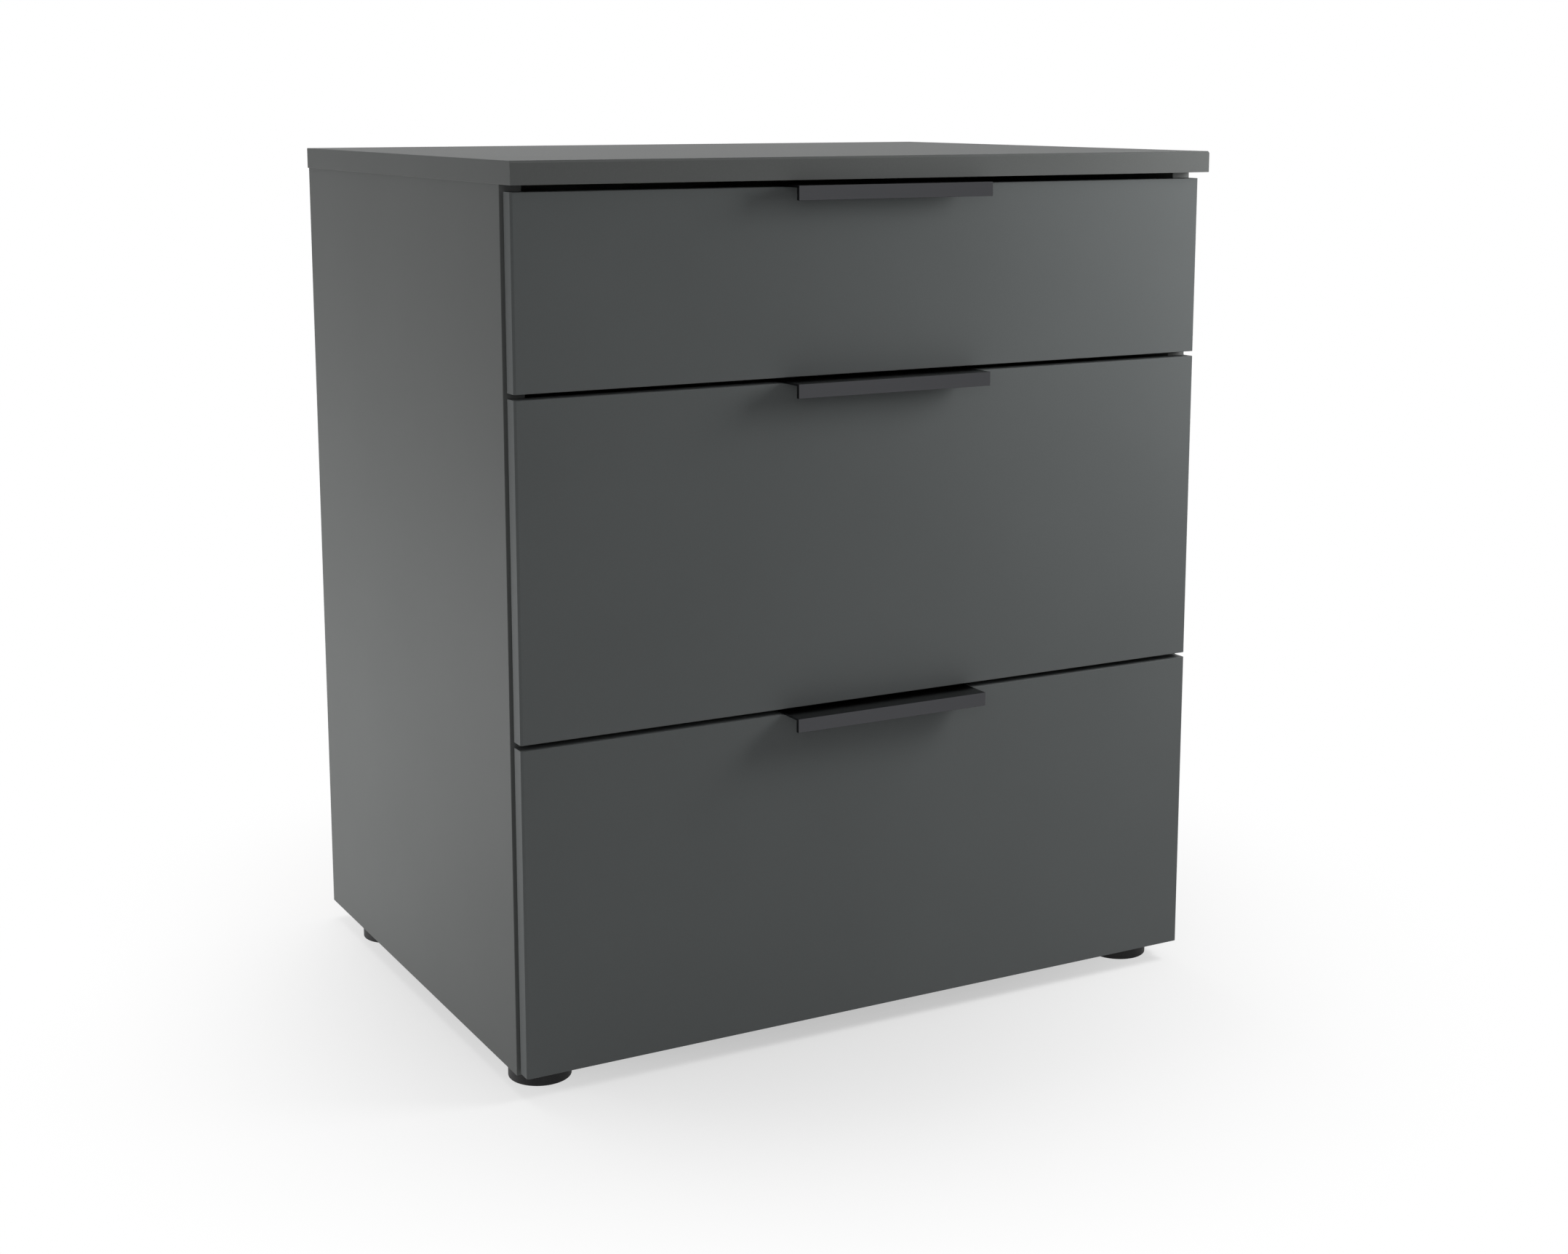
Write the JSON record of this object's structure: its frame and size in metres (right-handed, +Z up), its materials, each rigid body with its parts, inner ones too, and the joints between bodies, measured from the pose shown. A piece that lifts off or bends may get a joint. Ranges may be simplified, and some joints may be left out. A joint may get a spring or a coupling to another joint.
{
  "type": "nightstand",
  "caption": "Graphite nightstand with shallow and deep drawers, slim edge-pull handles and round black feet; the drawers run out on roller runners.",
  "frame": {"origin": "on the floor under the middle of the bounding box", "axes": "+Z up, drawers open toward -Y, +X to the right of someone facing the drawers"},
  "size_m": [0.54, 0.423, 0.6145],
  "materials": {
    "graphite_board": "matt graphite melamine on chipboard",
    "drawer_board": "grey foil on chipboard",
    "thin_board": "printed hardboard",
    "handle_coat": "satin dark grey powder coat",
    "foot_plastic": "matt black",
    "runner_coat": "light grey epoxy coat",
    "roller_nylon": "natural nylon",
    "zinc_hardware": "zinc plated",
    "beech": "plain beech"
  },
  "bodies": {
    "carcass": {"top_panel": "graphite_board", "right_side_panel": "graphite_board", "left_side_panel": "graphite_board", "bottom_panel": "graphite_board", "back_panel": "thin_board", "front_right_foot": "foot_plastic", "front_left_foot": "foot_plastic", "rear_right_foot": "foot_plastic", "rear_left_foot": "foot_plastic", "carcass_cam_fittings": "zinc_hardware", "carcass_dowels": "beech", "carcass_screws": "zinc_hardware", "upper_right_cabinet_channel": "runner_coat", "upper_left_cabinet_channel": "runner_coat", "middle_right_cabinet_channel": "runner_coat", "middle_left_cabinet_channel": "runner_coat", "lower_right_cabinet_channel": "runner_coat", "lower_left_cabinet_channel": "runner_coat"},
    "upper_drawer": {"upper_drawer_front": "graphite_board", "upper_drawer_back": "drawer_board", "upper_right_drawer_side": "drawer_board", "upper_left_drawer_side": "drawer_board", "upper_drawer_bottom": "thin_board", "upper_handle": "handle_coat", "upper_drawer_cam_fittings": "zinc_hardware", "upper_drawer_screws": "zinc_hardware", "upper_right_drawer_rail": "runner_coat", "upper_left_drawer_rail": "runner_coat"},
    "upper_right_cabinet_roller": {"upper_right_cabinet_roller": "roller_nylon"},
    "upper_right_rail_roller": {"upper_right_rail_roller": "roller_nylon"},
    "upper_left_cabinet_roller": {"upper_left_cabinet_roller": "roller_nylon"},
    "upper_left_rail_roller": {"upper_left_rail_roller": "roller_nylon"},
    "middle_drawer": {"middle_drawer_front": "graphite_board", "middle_drawer_back": "drawer_board", "middle_right_drawer_side": "drawer_board", "middle_left_drawer_side": "drawer_board", "middle_drawer_bottom": "thin_board", "middle_handle": "handle_coat", "middle_drawer_cam_fittings": "zinc_hardware", "middle_drawer_screws": "zinc_hardware", "middle_right_drawer_rail": "runner_coat", "middle_left_drawer_rail": "runner_coat"},
    "middle_right_cabinet_roller": {"middle_right_cabinet_roller": "roller_nylon"},
    "middle_right_rail_roller": {"middle_right_rail_roller": "roller_nylon"},
    "middle_left_cabinet_roller": {"middle_left_cabinet_roller": "roller_nylon"},
    "middle_left_rail_roller": {"middle_left_rail_roller": "roller_nylon"},
    "lower_drawer": {"lower_drawer_front": "graphite_board", "lower_drawer_back": "drawer_board", "lower_right_drawer_side": "drawer_board", "lower_left_drawer_side": "drawer_board", "lower_drawer_bottom": "thin_board", "lower_handle": "handle_coat", "lower_drawer_cam_fittings": "zinc_hardware", "lower_drawer_screws": "zinc_hardware", "lower_right_drawer_rail": "runner_coat", "lower_left_drawer_rail": "runner_coat"},
    "lower_right_cabinet_roller": {"lower_right_cabinet_roller": "roller_nylon"},
    "lower_right_rail_roller": {"lower_right_rail_roller": "roller_nylon"},
    "lower_left_cabinet_roller": {"lower_left_cabinet_roller": "roller_nylon"},
    "lower_left_rail_roller": {"lower_left_rail_roller": "roller_nylon"}
  },
  "joints": [
    {"name": "upper_drawer_slide", "type": "slide", "parent": "carcass", "child": "upper_drawer", "axis": [0, -1, 0], "range_m": [0, 0.26]},
    {"name": "upper_right_cabinet_roller_spin", "type": "hinge", "parent": "carcass", "child": "upper_right_cabinet_roller", "pos_m": [0.248, -0.1638, 0.4977], "axis": [1, 0, 0], "range_deg": [0, 1600]},
    {"name": "upper_right_rail_roller_spin", "type": "hinge", "parent": "upper_drawer", "child": "upper_right_rail_roller", "pos_m": [0.248, 0.1605, 0.4973], "axis": [1, 0, 0], "range_deg": [0, 1600]},
    {"name": "upper_left_cabinet_roller_spin", "type": "hinge", "parent": "carcass", "child": "upper_left_cabinet_roller", "pos_m": [-0.248, -0.1638, 0.4977], "axis": [1, 0, 0], "range_deg": [0, 1600]},
    {"name": "upper_left_rail_roller_spin", "type": "hinge", "parent": "upper_drawer", "child": "upper_left_rail_roller", "pos_m": [-0.248, 0.1605, 0.4973], "axis": [1, 0, 0], "range_deg": [0, 1600]},
    {"name": "middle_drawer_slide", "type": "slide", "parent": "carcass", "child": "middle_drawer", "axis": [0, -1, 0], "range_m": [0, 0.26]},
    {"name": "middle_right_cabinet_roller_spin", "type": "hinge", "parent": "carcass", "child": "middle_right_cabinet_roller", "pos_m": [0.248, -0.1638, 0.27115], "axis": [1, 0, 0], "range_deg": [0, 1600]},
    {"name": "middle_right_rail_roller_spin", "type": "hinge", "parent": "middle_drawer", "child": "middle_right_rail_roller", "pos_m": [0.248, 0.1605, 0.27075], "axis": [1, 0, 0], "range_deg": [0, 1600]},
    {"name": "middle_left_cabinet_roller_spin", "type": "hinge", "parent": "carcass", "child": "middle_left_cabinet_roller", "pos_m": [-0.248, -0.1638, 0.27115], "axis": [1, 0, 0], "range_deg": [0, 1600]},
    {"name": "middle_left_rail_roller_spin", "type": "hinge", "parent": "middle_drawer", "child": "middle_left_rail_roller", "pos_m": [-0.248, 0.1605, 0.27075], "axis": [1, 0, 0], "range_deg": [0, 1600]},
    {"name": "lower_drawer_slide", "type": "slide", "parent": "carcass", "child": "lower_drawer", "axis": [0, -1, 0], "range_m": [0, 0.26]},
    {"name": "lower_right_cabinet_roller_spin", "type": "hinge", "parent": "carcass", "child": "lower_right_cabinet_roller", "pos_m": [0.248, -0.1638, 0.0446], "axis": [1, 0, 0], "range_deg": [0, 1600]},
    {"name": "lower_right_rail_roller_spin", "type": "hinge", "parent": "lower_drawer", "child": "lower_right_rail_roller", "pos_m": [0.248, 0.1605, 0.0442], "axis": [1, 0, 0], "range_deg": [0, 1600]},
    {"name": "lower_left_cabinet_roller_spin", "type": "hinge", "parent": "carcass", "child": "lower_left_cabinet_roller", "pos_m": [-0.248, -0.1638, 0.0446], "axis": [1, 0, 0], "range_deg": [0, 1600]},
    {"name": "lower_left_rail_roller_spin", "type": "hinge", "parent": "lower_drawer", "child": "lower_left_rail_roller", "pos_m": [-0.248, 0.1605, 0.0442], "axis": [1, 0, 0], "range_deg": [0, 1600]}
  ],
  "couplings": [
    {"joint": "upper_right_cabinet_roller_spin", "follows": "upper_drawer_slide", "rad_per_m": 105.26},
    {"joint": "upper_right_rail_roller_spin", "follows": "upper_drawer_slide", "rad_per_m": 105.26},
    {"joint": "upper_left_cabinet_roller_spin", "follows": "upper_drawer_slide", "rad_per_m": 105.26},
    {"joint": "upper_left_rail_roller_spin", "follows": "upper_drawer_slide", "rad_per_m": 105.26},
    {"joint": "middle_right_cabinet_roller_spin", "follows": "middle_drawer_slide", "rad_per_m": 105.26},
    {"joint": "middle_right_rail_roller_spin", "follows": "middle_drawer_slide", "rad_per_m": 105.26},
    {"joint": "middle_left_cabinet_roller_spin", "follows": "middle_drawer_slide", "rad_per_m": 105.26},
    {"joint": "middle_left_rail_roller_spin", "follows": "middle_drawer_slide", "rad_per_m": 105.26},
    {"joint": "lower_right_cabinet_roller_spin", "follows": "lower_drawer_slide", "rad_per_m": 105.26},
    {"joint": "lower_right_rail_roller_spin", "follows": "lower_drawer_slide", "rad_per_m": 105.26},
    {"joint": "lower_left_cabinet_roller_spin", "follows": "lower_drawer_slide", "rad_per_m": 105.26},
    {"joint": "lower_left_rail_roller_spin", "follows": "lower_drawer_slide", "rad_per_m": 105.26}
  ]
}
